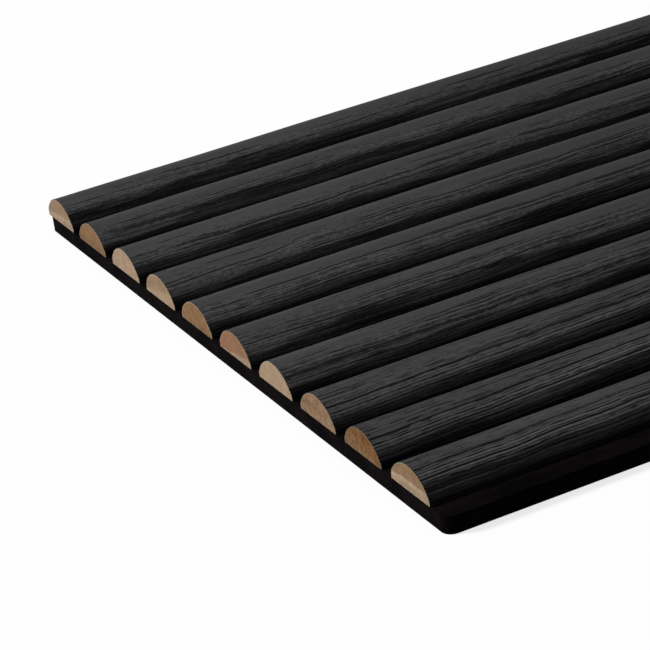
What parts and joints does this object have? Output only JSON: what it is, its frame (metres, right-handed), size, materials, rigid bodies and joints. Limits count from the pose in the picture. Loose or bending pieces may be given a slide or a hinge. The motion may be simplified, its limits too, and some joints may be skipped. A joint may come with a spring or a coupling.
{
  "type": "acoustic slat wall panel",
  "caption": "Long wall panel of parallel half-round slats, black-stained veneer over raw wood cores, bonded to a black felt sheet that dampens sound and laps the next panel at its edge.",
  "frame": {"origin": "middle of the panel's back, on the felt's wall face", "axes": "+X along the slats, +Y across them towards the side where the last slat stands out past the felt, +Z out of the slatted face"},
  "size_m": [2.4, 0.404, 0.02],
  "materials": {
    "slat_veneer": "black-stained open-pore veneer, matt, grain along the slat",
    "slat_core": "raw sawn solid wood, tan, tone differs from slat to slat",
    "felt": "dense black needled polyester felt"
  },
  "bodies": {
    "root": {"felt_backing": "felt", "slat_core_01": "slat_core", "slat_core_02": "slat_core", "slat_core_03": "slat_core", "slat_core_04": "slat_core", "slat_core_05": "slat_core", "slat_core_06": "slat_core", "slat_core_07": "slat_core", "slat_core_08": "slat_core", "slat_core_09": "slat_core", "slat_core_10": "slat_core", "slat_veneer_01": "slat_veneer", "slat_veneer_02": "slat_veneer", "slat_veneer_03": "slat_veneer", "slat_veneer_04": "slat_veneer", "slat_veneer_05": "slat_veneer", "slat_veneer_06": "slat_veneer", "slat_veneer_07": "slat_veneer", "slat_veneer_08": "slat_veneer", "slat_veneer_09": "slat_veneer", "slat_veneer_10": "slat_veneer"}
  },
  "joints": []
}
